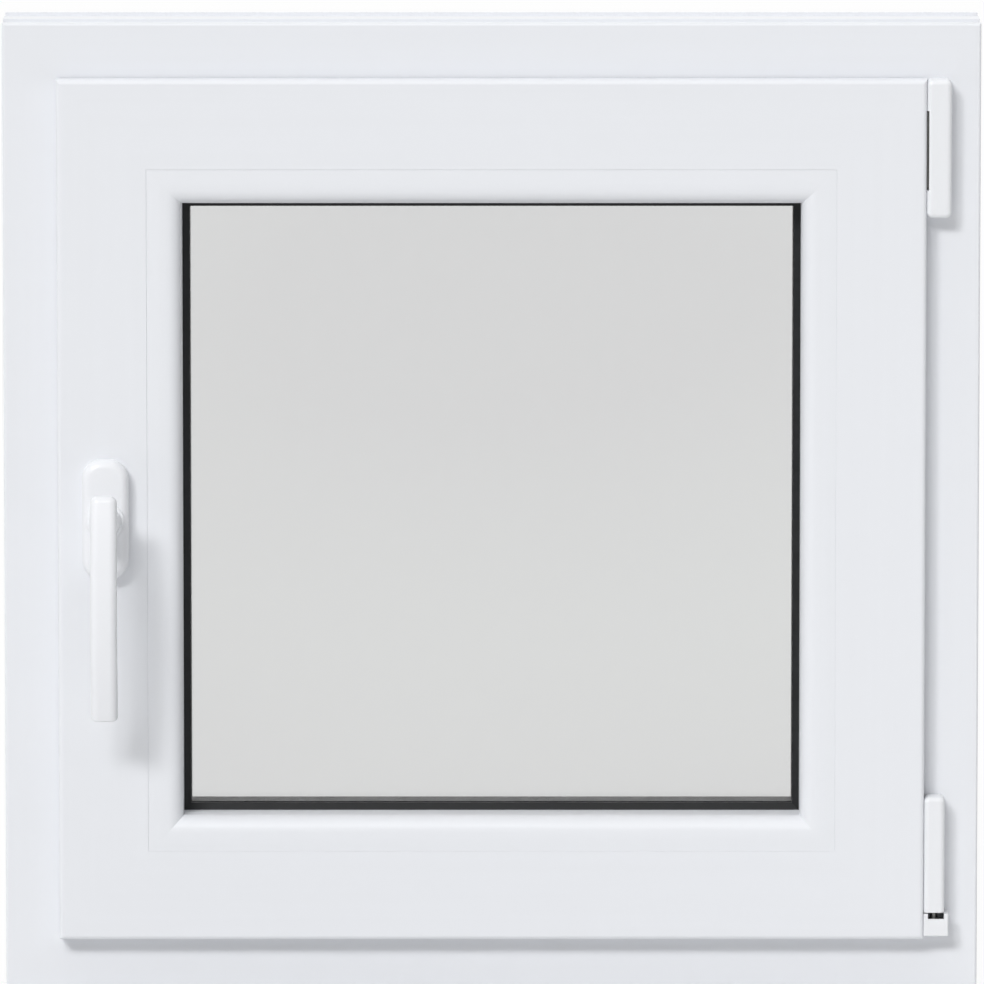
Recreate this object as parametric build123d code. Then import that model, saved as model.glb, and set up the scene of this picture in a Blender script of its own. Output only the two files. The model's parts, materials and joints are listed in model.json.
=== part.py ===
from build123d import *
import math
import os

# A white plastic tilt-and-turn basement window, shut, seen from the room with X to the right, Z up
# and the room on the -Y side. The origin is the middle of the frame's bottom face. All sizes are in
# millimetres. A profile section is drawn with u, the distance inwards from the frame's outer edge,
# and v, the depth behind the frame's room face, so that what laps into the room has a negative v.

# Overall size of the fixed frame
width = 600.0
height = 600.0

# Fixed frame section
frame_face = 41.5
frame_step = 3.5
frame_step_depth = 22.0
frame_lip = 12.0
frame_lip_cover = 13.5
frame_edge_radius = 1.6
edge_recess_width = 20.0
edge_recess_depth = 2.2
edge_recess_inset = 6.0

# Sash section
overlap = 8.0
overlap_gap = 1.0
sash_flange = 14.0
overlap_seal_inset = 2.5
overlap_seal_width = 3.5
overlap_seal_depth = 2.5
rebate_air = 12.0
sash_depth = 70.0
sash_face = 55.0
sash_edge_radius = 2.5
rebate_gap = 3.0
hardware_groove_width = 12.0
hardware_groove_depth = 9.0
hardware_groove_inset = 20.0

# Glazing
glazing_lip = 12.0
bead_width = 21.5
bead_recess = 0.3
bead_corner = 0.25
bead_foot = 5.0
bead_step = 4.5
bead_shoulder = 9.0
bead_crown = 0.1
bead_nose_drop = 0.6
bead_nose_radius = 9.5
bead_tongue = 2.4
bead_tongue_width = 3.0
bead_fit = 0.2
pane = 4.0
cavity = 16.0
edge_gap = 5.0
seal_width = 8.5
spacer_width = 8.1
glazing_gasket = 3.0
gasket_seat = 8.0
gasket_tip = 4.2

# Handle
handle_backset = 29.5
handle_drop = 4.0
rosette_width = 28.5
rosette_length = 74.0
rosette_thickness = 11.0
rosette_radius = 12.0
rosette_edge = 5.0
collar_radius = 11.7
collar_thickness = 2.5
collar_edge = 0.8
neck_radius = 9.8
grip_projection = 56.0
grip_thickness = 10.0
grip_width = 16.5
grip_rise = 21.0
grip_reach = 120.0
grip_bow = 10.0
grip_edge = 4.8
grip_tip_radius = 2.0

# Hinge hardware beside the right stile
hinge_gap = 0.05
hinge_wall = 1.5
hinge_fit = 0.1
eye_gap = 0.4
pin_radius = 2.0
knuckle_radius = 4.4
plate = 2.5
top_cover_width = 15.2
top_cover_length = 85.0
top_slot_length = 49.0
top_slot_inset = 17.0
hinge_projection = 14.5
cover_edge = 3.5
cover_round = 3.0
sleeve_width = 12.8
sleeve_length = 72.0
pivot_rise = 1.9
pivot_width = 15.3
pivot_height = 10.8
pivot_wall = 2.7
pivot_rim = 3.2
pivot_edge = 0.8
pivot_gap = 0.8
pivot_seat_radius = 3.6

# Drain caps on the outside of the sill profile
drain_cap_width = 42.0
drain_cap_height = 14.0
drain_cap_thickness = 5.0
drain_cap_wall = 1.5
drain_cap_edge = 1.0
drain_cap_inset = 150.0
drain_slot_width = 30.0
drain_slot_height = 5.0
drain_slot_depth = 9.0
drain_rise = 9.0

# Places in the section that follow from the sizes above
sash_edge = frame_face - overlap
sash_front = -(overlap_gap + sash_flange)
sash_body = frame_face + rebate_air
sash_back = sash_front + sash_depth
overlap_seal_low = sash_edge + overlap_seal_inset
overlap_seal_high = overlap_seal_low + overlap_seal_width
overlap_seal_floor = -(overlap_gap + overlap_seal_depth)
frame_depth = sash_back + rebate_gap + frame_lip
lip_edge = sash_body + frame_lip_cover
bead_edge = sash_edge + sash_face
glass_edge = bead_edge + bead_width
rebate_floor = bead_edge + bead_step
pane_edge = rebate_floor + edge_gap
outer_pane_back = sash_back - glazing_lip - glazing_gasket
outer_pane_front = outer_pane_back - pane
inner_pane_back = outer_pane_front - cavity
inner_pane_front = inner_pane_back - pane
bead_back = inner_pane_front - glazing_gasket
spacer_edge = pane_edge + seal_width
sight_edge = spacer_edge + spacer_width
hinge_left = width / 2 - sash_edge + hinge_gap


def section(points, radii=None):
    """A closed (u, v) outline as a face across the X axis, rounded at the named corners."""
    flat = [(v - frame_depth / 2, u) for u, v in points]
    face = make_face(Polyline(*flat, close=True))
    for index, radius in (radii or {}).items():
        corner = face.vertices().sort_by_distance((*flat[index], 0))[0]
        face = fillet(corner, radius)
    return Plane.YZ * face


def mitred_bar(profile, length, inner):
    """The profile along X, cut at 45 degrees at both ends, for a side as long as length."""
    half = length / 2
    bar = extrude(profile, amount=half, both=True)
    corners = [(-half, 0), (half, 0), (half - inner, inner), (inner - half, inner)]
    gore = make_face(Polyline(*corners, close=True))
    return bar & extrude(Plane.XZ * gore, amount=2 * frame_depth, both=True)


def four_sides(profile, inner):
    """The mitred bars of one section round the window: sill, head, left and right."""
    across = mitred_bar(profile, width, inner)
    upright = mitred_bar(profile, height, inner)
    return {
        "sill": across,
        "head": Pos(0, 0, height) * Rot(0, 180, 0) * across,
        "left": Pos(-width / 2, 0, height / 2) * Rot(0, 90, 0) * upright,
        "right": Pos(width / 2, 0, height / 2) * Rot(0, -90, 0) * upright,
    }


def ring(profile, inner):
    """One closed ring of a section, such as a gasket."""
    sides = four_sides(profile, inner)
    return sides["sill"] + sides["head"] + sides["left"] + sides["right"]


def slab(x, v, z):
    """A block from three (low, high) spans, with v as depth behind the frame's room face."""
    size = [high - low for low, high in (x, v, z)]
    middle = [(low + high) / 2 for low, high in (x, v, z)]
    return Pos(middle[0], middle[1] - frame_depth / 2, middle[2]) * Box(*size)


def rounded_slab(x, v, z, radius):
    """A block whose four edges along Y are rounded."""
    flat = RectangleRounded(x[1] - x[0], z[1] - z[0], radius)
    place = Pos((x[0] + x[1]) / 2, v[1] - frame_depth / 2, (z[0] + z[1]) / 2)
    return place * extrude(Plane.XZ * flat, amount=v[1] - v[0])


def upright_pin(x, v, z, radius):
    """A round pin along Z."""
    place = Pos(x, v - frame_depth / 2, (z[0] + z[1]) / 2)
    return place * Cylinder(radius, z[1] - z[0])


def frame_section():
    """Fixed frame: room face, stepped rebate, outside lip and the two recesses of the outer edge."""
    step = frame_face + frame_step
    lip_front = frame_depth - frame_lip
    front_recess = edge_recess_inset
    back_recess = frame_depth - edge_recess_inset - edge_recess_width
    points = [
        (0, 0),
        (frame_face, 0),
        (frame_face, frame_step_depth),
        (step, frame_step_depth + frame_step),
        (step, lip_front),
        (lip_edge, lip_front),
        (lip_edge, frame_depth),
        (0, frame_depth),
    ]
    for start in (back_recess, front_recess):
        points.append((0, start + edge_recess_width))
        points.append((edge_recess_depth, start + edge_recess_width))
        points.append((edge_recess_depth, start))
        points.append((0, start))
    radii = {0: frame_edge_radius, 1: 1.0, 5: 1.0, 6: frame_edge_radius, 7: frame_edge_radius}
    return section(points, radii)


def sash_section():
    """Sash: flange over the frame with its seal groove, hardware groove, glazing lip and bead seat."""
    foot = sash_front + bead_recess + bead_foot + bead_fit
    tongue = foot + bead_foot
    floor = rebate_floor
    groove = sash_front + sash_flange + hardware_groove_inset
    points = [
        (sash_edge, sash_front),
        (bead_edge, sash_front),
        (bead_edge, foot),
        (floor, foot),
        (floor, tongue),
        (floor - bead_tongue - bead_fit, tongue),
        (floor - bead_tongue - bead_fit, tongue + bead_tongue_width + 2 * bead_fit),
        (floor, tongue + bead_tongue_width + 2 * bead_fit),
        (floor, sash_back - glazing_lip),
        (glass_edge, sash_back - glazing_lip),
        (glass_edge, sash_back),
        (sash_body, sash_back),
        (sash_body, groove + hardware_groove_width),
        (sash_body + hardware_groove_depth, groove + hardware_groove_width),
        (sash_body + hardware_groove_depth, groove),
        (sash_body, groove),
        (sash_body, -overlap_gap),
        (overlap_seal_high, -overlap_gap),
        (overlap_seal_high, overlap_seal_floor),
        (overlap_seal_low, overlap_seal_floor),
        (overlap_seal_low, -overlap_gap),
        (sash_edge, -overlap_gap),
    ]
    radii = {0: sash_edge_radius, 1: bead_corner, 9: 1.0, 10: 2.0, 11: 1.0, 21: 0.6}
    return section(points, radii)


def bead_section():
    """Glazing bead: a face with a slight crown that rolls over to the glass, a foot and a tongue."""
    front = sash_front + bead_recess
    tongue = front + 2 * bead_foot + 2 * bead_fit
    floor = rebate_floor + bead_fit
    points = [
        (bead_edge, front),
        (bead_edge + bead_shoulder, sash_front + bead_crown),
        (glass_edge, sash_front + bead_nose_drop),
        (glass_edge, bead_back),
        (floor, bead_back),
        (floor, tongue + bead_tongue_width),
        (floor - bead_tongue, tongue + bead_tongue_width),
        (floor - bead_tongue, tongue),
        (floor, tongue),
        (floor, front + bead_foot),
        (bead_edge, front + bead_foot),
    ]
    return section(points, {0: bead_corner, 1: 2 * bead_nose_radius, 2: bead_nose_radius})


def gasket_section(seat_v, glass_v):
    """Glazing gasket between a seat and the glass, with a lip that tapers past the seat."""
    tip_v = glass_v + 0.4 * (seat_v - glass_v)
    start = glass_edge - gasket_seat
    tip = glass_edge + gasket_tip
    return section([(start, seat_v), (glass_edge, seat_v), (tip, tip_v), (tip, glass_v), (start, glass_v)])


def bulb_section(low, high, seat_v, touch_v):
    """Compression gasket: wide on its seat and narrow where it presses."""
    squeeze = (high - low) / 5
    return section([(low, seat_v), (high, seat_v), (high - squeeze, touch_v), (low + squeeze, touch_v)])


def frame_pieces():
    names = {
        "sill": "frame_sill",
        "head": "frame_head",
        "left": "frame_jamb_left",
        "right": "frame_jamb_right",
    }
    bars = four_sides(frame_section(), lip_edge)
    for x in drain_places():
        slot = slab(
            (x - drain_slot_width / 2, x + drain_slot_width / 2),
            (frame_depth - drain_slot_depth, frame_depth + drain_slot_depth),
            (drain_rise, drain_rise + drain_slot_height),
        )
        bars["sill"] -= slot
    return {names[side]: bar for side, bar in bars.items()}


def sash_pieces():
    names = {
        "sill": "sash_bottom_rail",
        "head": "sash_top_rail",
        "left": "sash_left_stile",
        "right": "sash_right_stile",
    }
    bars = four_sides(sash_section(), glass_edge)
    return {names[side]: bar for side, bar in bars.items()}


def bead_pieces():
    names = {"sill": "bead_bottom", "head": "bead_top", "left": "bead_left", "right": "bead_right"}
    bars = four_sides(bead_section(), glass_edge)
    return {names[side]: bar for side, bar in bars.items()}


def glazing_pieces():
    x = (pane_edge - width / 2, width / 2 - pane_edge)
    z = (pane_edge, height - pane_edge)
    block = [(pane_edge, outer_pane_front), (spacer_edge, outer_pane_front)]
    block += [(spacer_edge, inner_pane_back), (pane_edge, inner_pane_back)]
    bar = [(spacer_edge, outer_pane_front), (sight_edge, outer_pane_front)]
    bar += [(sight_edge, inner_pane_back), (spacer_edge, inner_pane_back)]
    return {
        "inner_pane": slab(x, (inner_pane_front, inner_pane_back), z),
        "outer_pane": slab(x, (outer_pane_front, outer_pane_back), z),
        "edge_seal": ring(section(block), spacer_edge),
        "spacer_bar": ring(section(bar), sight_edge),
    }


def gasket_pieces():
    tip = glass_edge + gasket_tip
    rebate_low = sash_body + frame_step
    rebate_high = lip_edge - 2
    return {
        "bead_gasket": ring(gasket_section(bead_back, inner_pane_front), tip),
        "outer_glazing_gasket": ring(gasket_section(sash_back - glazing_lip, outer_pane_back), tip),
        "frame_rebate_gasket": ring(
            bulb_section(rebate_low, rebate_high, frame_depth - frame_lip, sash_back), lip_edge
        ),
        "sash_overlap_gasket": ring(
            bulb_section(overlap_seal_low, overlap_seal_high, overlap_seal_floor, 0), frame_face
        ),
    }


def handle_place():
    """The handle's axis on the sash face."""
    x = sash_edge + handle_backset - width / 2
    z = height / 2 - handle_drop
    return Pos(x, sash_front - frame_depth / 2, z)


def lever_grip():
    """The hanging bar of the lever, bowed into the room along one wide arc."""
    middle = (grip_rise - grip_reach) / 2
    half = (grip_rise + grip_reach) / 2
    arc = (half ** 2 + grip_bow ** 2) / (2 * grip_bow)
    turn = math.degrees(math.asin(half / arc))
    centre = Pos(0, arc - grip_projection, middle)
    across = Pos(0, grip_thickness / 2 - arc, 0) * RectangleRounded(grip_width, grip_thickness, grip_edge)
    bar = centre * revolve(Rot(-turn, 0, 0) * across, Axis.X, 2 * turn)
    bar = fillet(bar.faces().sort_by(Axis.Z)[-1].edges(), 0.97 * grip_edge)
    return fillet(bar.faces().sort_by(Axis.Z)[0].edges(), grip_tip_radius)


def handle_pieces():
    place = handle_place()
    plate_outline = RectangleRounded(rosette_width, rosette_length, rosette_radius)
    rosette = extrude(Plane.XZ * plate_outline, rosette_thickness)
    rosette = fillet(rosette.faces().sort_by(Axis.Y)[0].edges(), rosette_edge)
    collar = Pos(0, -rosette_thickness, 0) * extrude(Plane.XZ * Circle(collar_radius), collar_thickness)
    collar = chamfer(collar.faces().sort_by(Axis.Y)[0].edges(), collar_edge)
    neck_start = rosette_thickness + collar_thickness
    neck_end = grip_projection - 1.05 * grip_thickness
    neck = extrude(Plane.XZ * Circle(neck_radius), amount=neck_end - neck_start, taper=2.5)
    neck = Pos(0, -neck_start, 0) * neck
    return {
        "handle_rosette": place * rosette,
        "handle_collar": place * collar,
        "handle_lever": place * (neck + lever_grip()),
    }


def hinge_axis():
    """X and v of the common line of both hinge pins."""
    return hinge_left + sleeve_width / 2, -hinge_projection / 2


def sash_arm(z):
    """A steel leaf flat on the sash's side, with a web to its knuckle on the hinge line."""
    x, v = hinge_axis()
    side = width / 2 - sash_edge
    leaf = slab((side, side + hinge_gap + hinge_wall), (v, -2 * overlap_gap), z)
    web = slab((side, x), (v, v + plate), z)
    return leaf + web + upright_pin(x, v, z, knuckle_radius)


def bracket_eye(radius, z):
    """A round eye on the hinge line with the web that ties it to the bracket's plate."""
    x, v = hinge_axis()
    return upright_pin(x, v, z, radius) + slab((x - pin_radius, x + pin_radius), (v, -plate), z)


def hinge_cover(x, z):
    """A cover with rounded upright edges and a rounded front."""
    cover = rounded_slab(x, (-hinge_projection, 0), z, cover_edge)
    return fillet(cover.faces().sort_by(Axis.Y)[0].edges(), cover_round)


def top_hinge_pieces():
    """Bearing bracket, pin and cover on the frame, and the stay arm's eye between the bracket's eyes."""
    left = hinge_left
    x, v = hinge_axis()
    top = height - sash_edge
    bottom = top - top_cover_length
    slot = (bottom + top_slot_inset, bottom + top_slot_inset + top_slot_length)
    inside = (left + hinge_wall, left + top_cover_width - hinge_wall)
    lower_eye = (bottom + 2 * hinge_wall, slot[0])
    upper_eye = (slot[1], top - 2 * hinge_wall)
    pin = (lower_eye[0], upper_eye[1])
    cover = hinge_cover((left, left + top_cover_width), (bottom, top))
    cover -= slab(inside, (hinge_wall - hinge_projection, 1), (bottom + hinge_wall, top - hinge_wall))
    cover -= slab((left - 1, inside[0]), (hinge_wall / 3 - hinge_projection, 1), slot)
    bracket = slab((inside[0] + eye_gap, inside[1] - eye_gap), (-plate, 0), pin)
    for eye in (lower_eye, upper_eye):
        bracket += bracket_eye(knuckle_radius, eye)
    bore = upright_pin(x, v, (bottom, top), pin_radius + hinge_fit)
    return {
        "top_hinge_cover": cover,
        "top_hinge_bracket": bracket - bore,
        "top_hinge_pin": upright_pin(x, v, pin, pin_radius),
        "stay_arm": sash_arm((lower_eye[1] + eye_gap, upper_eye[0] - eye_gap)) - bore,
    }


def pivot_cup(bottom, notch, top):
    """The white block on the frame: an open well whose front wall is lower than its side walls."""
    sides = (hinge_left, hinge_left + pivot_width)
    well = (sides[0] + pivot_wall, sides[1] - pivot_wall)
    cup = rounded_slab(sides, (-hinge_projection, 0), (bottom, top), pivot_edge)
    cup = fillet(cup.faces().sort_by(Axis.Y)[0].edges(), pivot_edge)
    cup -= slab(well, (hinge_wall - hinge_projection, 1), (bottom + hinge_wall, top + 1))
    return cup - slab(well, (-hinge_projection - 1, 1), (notch, top + 1))


def pivot_pieces():
    """Corner hinge: a block and pin on the frame under a covered sleeve that hangs from the sash."""
    left = hinge_left
    x, v = hinge_axis()
    bottom = sash_edge + pivot_rise
    notch = bottom + pivot_height
    cup_top = notch + pivot_rim
    sleeve = (cup_top + pivot_gap, cup_top + pivot_gap + sleeve_length)
    inside = (left + hinge_wall, left + sleeve_width - hinge_wall)
    arm = (sleeve[0] + 2 * hinge_wall, sleeve[1] - 2 * hinge_wall)
    cover = hinge_cover((left, left + sleeve_width), (sleeve[0] - 2 * cover_edge, sleeve[1]))
    open_end = (sleeve[0] - 3 * cover_edge, sleeve[0])
    cover -= slab((left - 1, left + sleeve_width + 1), (-hinge_projection - 1, 1), open_end)
    cover -= slab(inside, (hinge_wall - hinge_projection, 1), (sleeve[0] - 1, sleeve[1] - hinge_wall))
    cover -= slab((left - 1, inside[0] + 1), (v, 1), (sleeve[0] - 1, arm[1] + eye_gap))
    cover -= slab((left - 1, left + sleeve_width + 1), (-eye_gap, 1), (sleeve[0] - 1, sleeve[1] + 1))
    well = (left + pivot_wall, left + pivot_width - pivot_wall)
    seat = (bottom + hinge_wall, notch - hinge_wall)
    bracket = slab(well, (-plate, 0), seat) + bracket_eye(pivot_seat_radius, seat)
    bore = upright_pin(x, v, (bottom, sleeve[1]), pin_radius + hinge_fit)
    return {
        "sash_hinge_cover": cover,
        "sash_hinge_arm": sash_arm(arm) - bore,
        "pivot_pin": upright_pin(x, v, (seat[0], sleeve[0] + sleeve_length / 2), pin_radius),
        "pivot_bracket": bracket - bore,
        "pivot_cover": pivot_cup(bottom, notch, cup_top),
    }


def drain_places():
    return [drain_cap_inset - width / 2, width / 2 - drain_cap_inset]


def drain_cap(x):
    """A hood over a drain slot, open at its bottom."""
    half = drain_cap_width / 2
    low = drain_rise - (drain_cap_height - drain_slot_height) / 2
    v = (frame_depth, frame_depth + drain_cap_thickness)
    hood = rounded_slab((x - half, x + half), v, (low, low + drain_cap_height), 3.0)
    hood = chamfer(hood.faces().sort_by(Axis.Y)[-1].edges(), drain_cap_edge)
    wall = drain_cap_wall
    hollow = slab(
        (x - half + wall, x + half - wall),
        (v[0] - wall, v[1] - wall),
        (low - wall, low + drain_cap_height - wall),
    )
    return hood - hollow


pieces = {}
pieces.update(frame_pieces())
pieces.update(sash_pieces())
pieces.update(bead_pieces())
pieces.update(glazing_pieces())
pieces.update(gasket_pieces())
pieces.update(handle_pieces())
pieces.update(top_hinge_pieces())
pieces.update(pivot_pieces())
for side, place in zip(("left", "right"), drain_places()):
    pieces["drain_cap_" + side] = drain_cap(place)

os.makedirs("parts", exist_ok=True)
for name, shape in pieces.items():
    export_step(shape, "parts/" + name + ".step")
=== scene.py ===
import json
import math

import bpy
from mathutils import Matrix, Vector


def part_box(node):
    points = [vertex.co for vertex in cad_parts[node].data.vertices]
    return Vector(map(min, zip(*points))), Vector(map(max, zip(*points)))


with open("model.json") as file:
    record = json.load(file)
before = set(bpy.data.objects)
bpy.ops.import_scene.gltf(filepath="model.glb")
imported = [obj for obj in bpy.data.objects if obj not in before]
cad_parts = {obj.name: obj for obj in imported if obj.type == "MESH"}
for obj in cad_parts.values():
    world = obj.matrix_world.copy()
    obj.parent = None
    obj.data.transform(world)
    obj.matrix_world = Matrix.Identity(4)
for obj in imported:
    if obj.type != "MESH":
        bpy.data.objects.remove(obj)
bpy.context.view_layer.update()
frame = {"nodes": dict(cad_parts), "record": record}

# Camera: square in front of the room face, a little above the window and far away. The centre pixel
# is where the middle of that face stands in the picture
PIXELS = 984
PIXELS_PER_METRE = 1625.0
CENTRE_PIXEL_X = 491.5
CENTRE_PIXEL_Y = 508.6
CAMERA_DISTANCE = 8.0
CAMERA_ELEVATION = math.radians(8.0)
SENSOR = 36.0

# Lamps, each with the direction of its rays and its strength: two key lamps from the upper left of
# the room act as one wide one, and a weak one stands outside
KEY_STEEP = (Vector((0.3, 1.0, -0.78)), 0.66)
KEY_SLANTED = (Vector((0.6, 1.0, -0.78)), 1.08)
BACK_LAMP = (Vector((-0.5, -1.0, -0.4)), 0.9)
LAMP_SPREAD = math.radians(12.0)

# Sky light: strength at the sides and overhead, and the height at which it starts to grow
SKY_SIDES = 0.1
SKY_TOP = 1.16
SKY_TOP_START = 0.35

# Floor: how much of its shadow shows on the white
FLOOR_SIZE = 30.0
FLOOR_GREY = 0.8
FLOOR_ROUGHNESS = 0.9
FLOOR_SHADOW = 0.06

# Colours, linear: each surface varies between two of them
WHITE_PLASTIC = (0.815, 0.8305, 0.864, 1.0)
WHITE_PLASTIC_WARM = (0.81, 0.825, 0.8575, 1.0)
WHITE_POWDER = (0.855, 0.867, 0.895, 1.0)
WHITE_POWDER_WARM = (0.849, 0.861, 0.888, 1.0)
WHITE_MOULDED = (0.835, 0.847, 0.872, 1.0)
WHITE_MOULDED_WARM = (0.829, 0.841, 0.865, 1.0)
GASKET_BLACK = (0.01, 0.0106, 0.0114, 1.0)
SPACER_BLACK = (0.02, 0.021, 0.023, 1.0)
DUSTY_RUBBER = 1.7
# Steel colours, kept dark partly so the leaf in the hinge cover's slot shows as shaded: painted
# shade
STEEL_LIGHT = (0.3, 0.3, 0.29, 1.0)
STEEL_DARK = (0.16, 0.16, 0.155, 1.0)
# Glass tint, and the lighter tint of its broad band, which is a painted reflection
GLASS_TINT = (0.815, 0.816, 0.817, 1.0)
GLASS_PAINTED_REFLECTION = (0.835, 0.84, 0.837, 1.0)

# Roughness, from the smoothest to the roughest places
PLASTIC_ROUGHNESS = (0.34, 0.42)
POWDER_ROUGHNESS = (0.29, 0.32)
MOULDED_ROUGHNESS = (0.3, 0.38)
RUBBER_ROUGHNESS = (0.45, 0.6)
STEEL_ROUGHNESS = (0.3, 0.45)
RUBBER_SPECULAR = 0.2
RUBBER_SHEEN = 0.45
RUBBER_SHEEN_ROUGHNESS = 0.3
GLASS_IOR = 1.45

# Surface patterns: waves in a metre, how much fewer or more of them lie along one axis, and the
# relief, as its depth in metres and how strongly it shows
EVEN = (1.0, 1.0, 1.0)
STREAK_SCALE = 160.0
STREAK_STRETCH = 0.02
GRAIN_SCALE = 2600.0
GRAIN_RELIEF = (0.00004, 0.25)
PEEL_SCALE = 1400.0
PEEL_RELIEF = (0.00003, 0.2)
MATTING_SCALE = 3500.0
MATTING_RELIEF = (0.00003, 0.3)
DUST_SCALE = 120.0
SKIN_SCALE = 2400.0
SKIN_RELIEF = (0.00005, 0.3)
DRAWN_SCALE = 1500.0
DRAWN_STRETCH = 0.05
DRAWN_RELIEF = (0.00003, 0.4)
# Broad soft band on the glass that carries the painted reflection
REFLECTION_BAND_SCALE = 2.2
REFLECTION_BAND_STRETCH = 1.6

# Part of a pattern's values over which the colour and the roughness change
COLOUR_RANGE = (0.35, 0.65)
ROUGHNESS_RANGE = (0.3, 0.7)


def new_material(name):
    """A node material with an empty Principled shader."""
    material = bpy.data.materials.new(name)
    material.use_nodes = True
    return material, material.node_tree, material.node_tree.nodes["Principled BSDF"]


def noise(tree, stretch, scale, detail=3.0):
    """Noise over object coordinates in metres, stretched by a factor on each axis."""
    place = tree.nodes.new("ShaderNodeTexCoord")
    mapping = tree.nodes.new("ShaderNodeMapping")
    texture = tree.nodes.new("ShaderNodeTexNoise")
    mapping.inputs["Scale"].default_value = stretch
    texture.inputs["Scale"].default_value = scale
    texture.inputs["Detail"].default_value = detail
    tree.links.new(place.outputs["Object"], mapping.inputs["Vector"])
    tree.links.new(mapping.outputs["Vector"], texture.inputs["Vector"])
    return texture.outputs["Fac"]


def two_colours(tree, factor, low, high, socket):
    """Blends two colours by a factor into a colour socket."""
    ramp = tree.nodes.new("ShaderNodeValToRGB")
    for element, position, colour in zip(ramp.color_ramp.elements, COLOUR_RANGE, (low, high)):
        element.position = position
        element.color = colour
    tree.links.new(factor, ramp.inputs["Fac"])
    tree.links.new(ramp.outputs["Color"], socket)


def vary_roughness(tree, shader, factor, limits):
    """Varies the roughness between two limits by a factor."""
    span = tree.nodes.new("ShaderNodeMapRange")
    span.inputs["From Min"].default_value = ROUGHNESS_RANGE[0]
    span.inputs["From Max"].default_value = ROUGHNESS_RANGE[1]
    span.inputs["To Min"].default_value = limits[0]
    span.inputs["To Max"].default_value = limits[1]
    tree.links.new(factor, span.inputs["Value"])
    tree.links.new(span.outputs["Result"], shader.inputs["Roughness"])


def bump(tree, shader, height, relief):
    """Raises a surface by a height field."""
    depth, strength = relief
    node = tree.nodes.new("ShaderNodeBump")
    node.inputs["Strength"].default_value = strength
    node.inputs["Distance"].default_value = depth
    tree.links.new(height, node.inputs["Height"])
    tree.links.new(node.outputs["Normal"], shader.inputs["Normal"])


def profile_plastic(name, along):
    """Extruded white plastic: faint streaks along the profile and a fine satin grain."""
    material, tree, shader = new_material(name)
    stretch = list(EVEN)
    stretch[along] = STREAK_STRETCH
    streaks = noise(tree, stretch, STREAK_SCALE)
    grain = noise(tree, EVEN, GRAIN_SCALE, 2.0)
    two_colours(tree, streaks, WHITE_PLASTIC_WARM, WHITE_PLASTIC, shader.inputs["Base Color"])
    vary_roughness(tree, shader, streaks, PLASTIC_ROUGHNESS)
    bump(tree, shader, grain, GRAIN_RELIEF)
    return material


def powder_coat():
    """White powder-coated handle metal with a slight orange-peel surface."""
    material, tree, shader = new_material("powder_white")
    peel = noise(tree, EVEN, PEEL_SCALE, 1.0)
    two_colours(tree, peel, WHITE_POWDER_WARM, WHITE_POWDER, shader.inputs["Base Color"])
    vary_roughness(tree, shader, peel, POWDER_ROUGHNESS)
    bump(tree, shader, peel, PEEL_RELIEF)
    return material


def moulded_plastic():
    """Moulded white plastic of the hinge and drain covers, finely matted."""
    material, tree, shader = new_material("moulded_white")
    matting = noise(tree, EVEN, MATTING_SCALE, 2.0)
    two_colours(tree, matting, WHITE_MOULDED_WARM, WHITE_MOULDED, shader.inputs["Base Color"])
    vary_roughness(tree, shader, matting, MOULDED_ROUGHNESS)
    bump(tree, shader, matting, MATTING_RELIEF)
    return material


def rubber(name, colour):
    """Extruded black rubber, matt, with a dusty variation."""
    material, tree, shader = new_material(name)
    dust = noise(tree, EVEN, DUST_SCALE)
    skin = noise(tree, EVEN, SKIN_SCALE, 2.0)
    lighter = tuple(DUSTY_RUBBER * part for part in colour[:3]) + (1.0,)
    two_colours(tree, dust, colour, lighter, shader.inputs["Base Color"])
    vary_roughness(tree, shader, dust, RUBBER_ROUGHNESS)
    shader.inputs["Specular IOR Level"].default_value = RUBBER_SPECULAR
    shader.inputs["Sheen Weight"].default_value = RUBBER_SHEEN
    shader.inputs["Sheen Roughness"].default_value = RUBBER_SHEEN_ROUGHNESS
    bump(tree, shader, skin, SKIN_RELIEF)
    return material


def zinc_steel():
    """Zinc-plated steel with fine drawn lines along the pins, its colours kept dark partly as
    painted shade for the leaf in the hinge cover's slot.
    """
    material, tree, shader = new_material("zinc_steel")
    lines = noise(tree, (1.0, 1.0, DRAWN_STRETCH), DRAWN_SCALE)
    shader.inputs["Metallic"].default_value = 1.0
    two_colours(tree, lines, STEEL_DARK, STEEL_LIGHT, shader.inputs["Base Color"])
    vary_roughness(tree, shader, lines, STEEL_ROUGHNESS)
    bump(tree, shader, lines, DRAWN_RELIEF)
    return material


def window_glass():
    """Clear float glass with a light neutral tint, made lighter in one broad soft band that is a
    painted reflection.
    """
    material, tree, shader = new_material("float_glass")
    # Painted reflection: the tint grows lighter along one broad soft band
    reflection_band = noise(tree, (1.0, 1.0, REFLECTION_BAND_STRETCH), REFLECTION_BAND_SCALE, 0.0)
    two_colours(tree, reflection_band, GLASS_TINT, GLASS_PAINTED_REFLECTION, shader.inputs["Base Color"])
    shader.inputs["Roughness"].default_value = 0.0
    shader.inputs["IOR"].default_value = GLASS_IOR
    shader.inputs["Transmission Weight"].default_value = 1.0
    return material


def dress_nodes():
    """Gives every piece the material of its slot, with the profile's streaks along its length."""
    across = profile_plastic("profile_across", 0)
    upright = profile_plastic("profile_upright", 2)
    by_slot = {
        "handle_white": powder_coat(),
        "hinge_cover_white": moulded_plastic(),
        "hinge_steel": zinc_steel(),
        "gasket_black": rubber("gasket_rubber", GASKET_BLACK),
        "seal_black": rubber("edge_sealant", GASKET_BLACK),
        "spacer_black": rubber("spacer_bar_black", SPACER_BLACK),
        "glass": window_glass(),
    }
    slots = {row["node"]: row["material_slot"] for row in frame["record"]["subparts"]}
    for name, node in frame["nodes"].items():
        low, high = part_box(name)
        profile = across if high[0] - low[0] > high[2] - low[2] else upright
        material = by_slot.get(slots[name], profile)
        for slot in node.material_slots:
            slot.material = material


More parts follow.
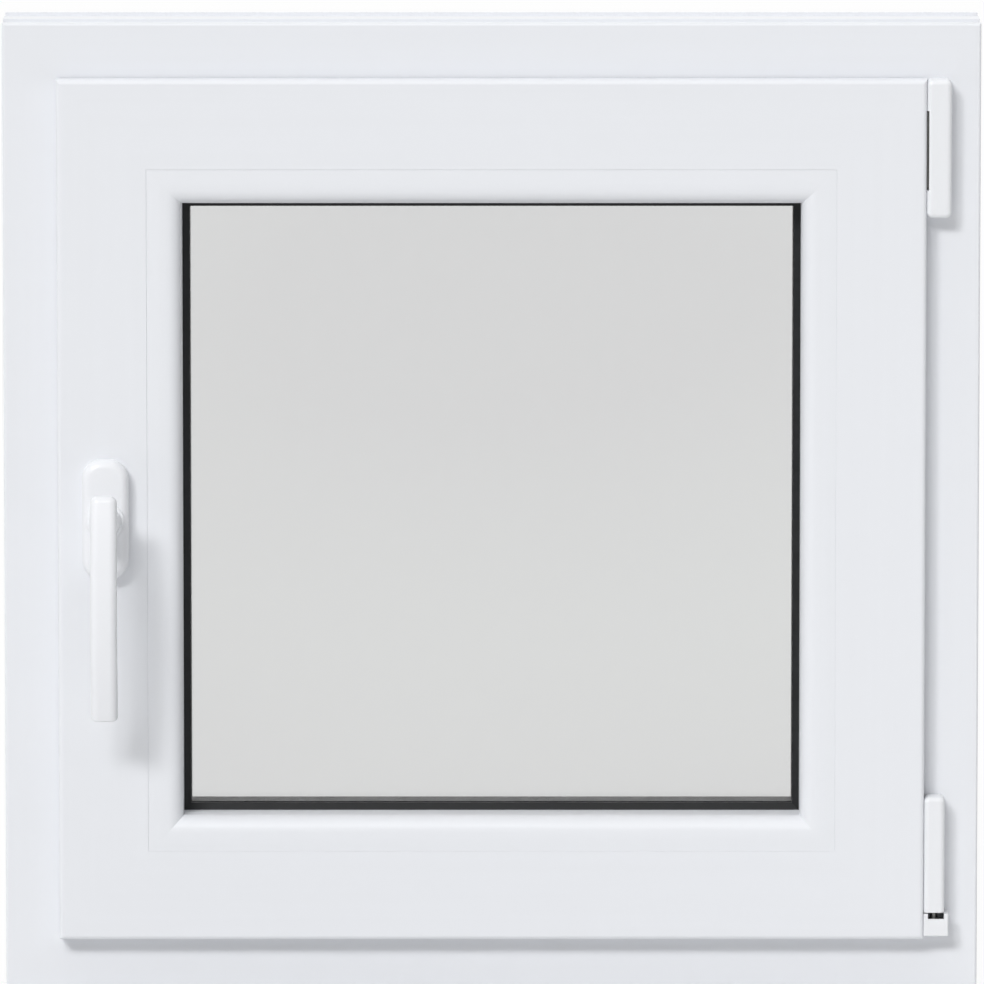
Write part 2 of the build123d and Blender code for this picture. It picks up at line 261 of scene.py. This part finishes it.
def mixed_by_ray(tree, lit, seen):
    """A shader that camera, mirror and glass rays see as seen, and all other rays as lit."""
    path = tree.nodes.new("ShaderNodeLightPath")
    glossy = tree.nodes.new("ShaderNodeMath")
    either = tree.nodes.new("ShaderNodeMath")
    mix = tree.nodes.new("ShaderNodeMixShader")
    for node in (glossy, either):
        node.operation = "MAXIMUM"
    tree.links.new(path.outputs["Is Camera Ray"], glossy.inputs[0])
    tree.links.new(path.outputs["Is Glossy Ray"], glossy.inputs[1])
    tree.links.new(glossy.outputs[0], either.inputs[0])
    tree.links.new(path.outputs["Is Transmission Ray"], either.inputs[1])
    tree.links.new(either.outputs[0], mix.inputs["Fac"])
    tree.links.new(lit, mix.inputs[1])
    tree.links.new(seen, mix.inputs[2])
    return mix.outputs[0]


def make_floor():
    """A pale floor that shows white, with a faint shadow of the window."""
    bpy.ops.mesh.primitive_plane_add(size=FLOOR_SIZE, location=(0, 0, 0))
    floor = bpy.context.object
    floor.name = "floor"
    material, tree, shader = new_material("floor_white")
    shader.inputs["Base Color"].default_value = (FLOOR_GREY, FLOOR_GREY, FLOOR_GREY, 1.0)
    shader.inputs["Roughness"].default_value = FLOOR_ROUGHNESS
    shader.inputs["Specular IOR Level"].default_value = 0.0
    glow = tree.nodes.new("ShaderNodeEmission")
    glow.inputs["Strength"].default_value = 1.0
    faint = tree.nodes.new("ShaderNodeMixShader")
    faint.inputs["Fac"].default_value = FLOOR_SHADOW
    tree.links.new(glow.outputs[0], faint.inputs[1])
    tree.links.new(shader.outputs[0], faint.inputs[2])
    output = tree.nodes["Material Output"]
    tree.links.new(mixed_by_ray(tree, shader.outputs[0], faint.outputs[0]), output.inputs["Surface"])
    floor.data.materials.append(material)


def make_world():
    """White background, and a sky light that is dim at the sides and strong overhead."""
    world = bpy.data.worlds.new("studio")
    bpy.context.scene.world = world
    world.use_nodes = True
    tree = world.node_tree
    place = tree.nodes.new("ShaderNodeTexCoord")
    height = tree.nodes.new("ShaderNodeSeparateXYZ")
    level = tree.nodes.new("ShaderNodeMapRange")
    level.inputs["From Min"].default_value = SKY_TOP_START
    level.inputs["To Min"].default_value = SKY_SIDES
    level.inputs["To Max"].default_value = SKY_TOP
    sky = tree.nodes["Background"]
    white = tree.nodes.new("ShaderNodeBackground")
    for background in (sky, white):
        background.inputs["Color"].default_value = (1.0, 1.0, 1.0, 1.0)
    tree.links.new(place.outputs["Generated"], height.inputs[0])
    tree.links.new(height.outputs["Z"], level.inputs["Value"])
    tree.links.new(level.outputs["Result"], sky.inputs["Strength"])
    output = tree.nodes["World Output"]
    tree.links.new(mixed_by_ray(tree, sky.outputs[0], white.outputs[0]), output.inputs["Surface"])


def make_lamps():
    """Lamps far away that shine evenly along their directions, with soft shadows."""
    for direction, strength in (KEY_STEEP, KEY_SLANTED, BACK_LAMP):
        light = bpy.data.lights.new("lamp", "SUN")
        light.energy = strength
        light.angle = LAMP_SPREAD
        lamp = bpy.data.objects.new("lamp", light)
        lamp.rotation_euler = direction.to_track_quat("-Z", "Y").to_euler()
        bpy.context.collection.objects.link(lamp)


def make_camera():
    """A long lens that shows the frame's room face at the photograph's scale."""
    room_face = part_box("frame_sill")[0][1]
    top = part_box("frame_head")[1][2]
    target = Vector((0.0, room_face, top / 2))
    view_width = PIXELS / PIXELS_PER_METRE
    rise = (CENTRE_PIXEL_Y - PIXELS / 2) / PIXELS_PER_METRE
    aside = (PIXELS / 2 - CENTRE_PIXEL_X) / PIXELS_PER_METRE
    back = Vector((0.0, -math.cos(CAMERA_ELEVATION), math.sin(CAMERA_ELEVATION)))
    up = Vector((0.0, math.sin(CAMERA_ELEVATION), math.cos(CAMERA_ELEVATION)))
    data = bpy.data.cameras.new("camera")
    data.sensor_width = SENSOR
    data.lens = SENSOR * CAMERA_DISTANCE / view_width
    data.clip_end = 4 * CAMERA_DISTANCE
    camera = bpy.data.objects.new("camera", data)
    camera.location = target + CAMERA_DISTANCE * back + rise * up + Vector((aside, 0, 0))
    camera.rotation_euler = (math.pi / 2 - CAMERA_ELEVATION, 0, 0)
    bpy.context.collection.objects.link(camera)
    bpy.context.scene.camera = camera


bpy.context.scene.view_settings.view_transform = "Standard"
dress_nodes()
make_floor()
make_world()
make_lamps()
make_camera()
